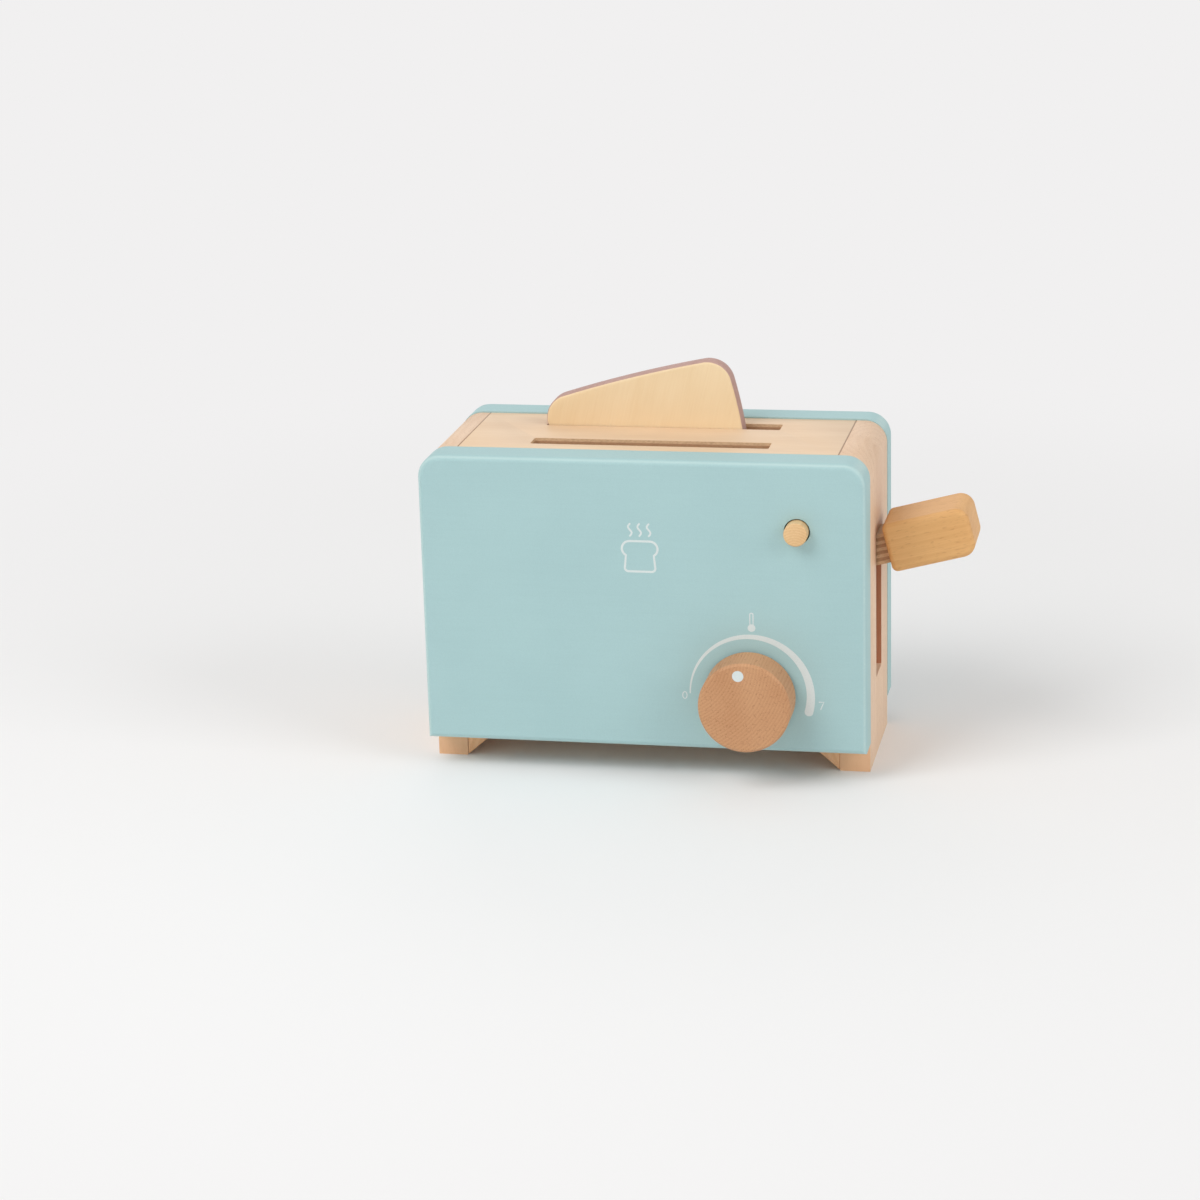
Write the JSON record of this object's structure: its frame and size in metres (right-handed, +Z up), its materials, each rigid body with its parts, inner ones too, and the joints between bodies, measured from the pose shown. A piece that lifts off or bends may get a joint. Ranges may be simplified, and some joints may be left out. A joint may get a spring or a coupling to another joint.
{
  "type": "toy toaster",
  "caption": "Wooden toy toaster: painted front and back panels on a natural wood core, with a lift lever, a turning knob, a push button and a slice of toast.",
  "frame": {"origin": "on the floor under the middle of the box, midway between the panels and between the side boards", "axes": "+X towards the side with the lever, +Y towards the back panel, +Z up"},
  "size_m": [0.2321, 0.1142, 0.1678],
  "materials": {
    "teal_paint": "matt water-based paint on solid wood",
    "beech": "oiled solid beech",
    "pale_wood": "clear-lacquered pale wood",
    "plywood": "clear-lacquered plywood with visible plies",
    "toast_paint": "pale wood slice with a painted crust",
    "steel": "zinc-plated steel",
    "magnet": "nickel-plated magnet",
    "felt": "wool felt"
  },
  "bodies": {
    "housing": {"front_panel": "teal_paint", "back_panel": "teal_paint", "left_side_board": "pale_wood", "right_side_board": "pale_wood", "top_plate": "plywood", "base_plate": "plywood", "left_foot_block": "pale_wood", "right_foot_block": "pale_wood", "panel_dowels": "beech", "corner_dowels": "beech", "pivot_axle": "steel", "axle_spacers": "beech", "upper_screw_eye": "steel", "stop_block": "beech", "base_magnet": "magnet", "stop_block_screws": "steel", "knob_washer": "felt", "button_guide_block": "beech", "button_spring": "steel", "return_spring": "steel"},
    "lever": {"lift_board": "plywood", "lever_handle": "beech", "handle_dowel": "beech", "board_magnet": "magnet", "lower_screw_eye": "steel"},
    "toast": {"toast_slice": "toast_paint"},
    "knob": {"knob": "beech", "knob_spindle": "beech", "spindle_collar": "beech", "collar_pin": "steel"},
    "button": {"button_peg": "beech", "button_collar": "beech"}
  },
  "joints": [
    {"name": "lever_press", "type": "hinge", "parent": "housing", "child": "lever", "pos_m": [-0.074, 0, 0.048], "axis": [0, 1, 0], "range_deg": [0, 11], "stiffness_Nm_per_rad": 0.4, "springref_deg": -45.84, "deforming": ["return_spring"]},
    {"name": "toast_lift", "type": "slide", "parent": "lever", "child": "toast", "axis": [-0.2504, 0, 0.9681], "range_m": [0, 0.09]},
    {"name": "knob_turn", "type": "hinge", "parent": "housing", "child": "knob", "pos_m": [0.046, -0.048, 0.038], "axis": [0, 1, 0], "continuous": true},
    {"name": "button_push", "type": "slide", "parent": "housing", "child": "button", "axis": [0, 1, 0], "range_m": [0, 0.005], "stiffness_N_per_m": 150, "springref_m": -0.006, "deforming": ["button_spring"]}
  ]
}
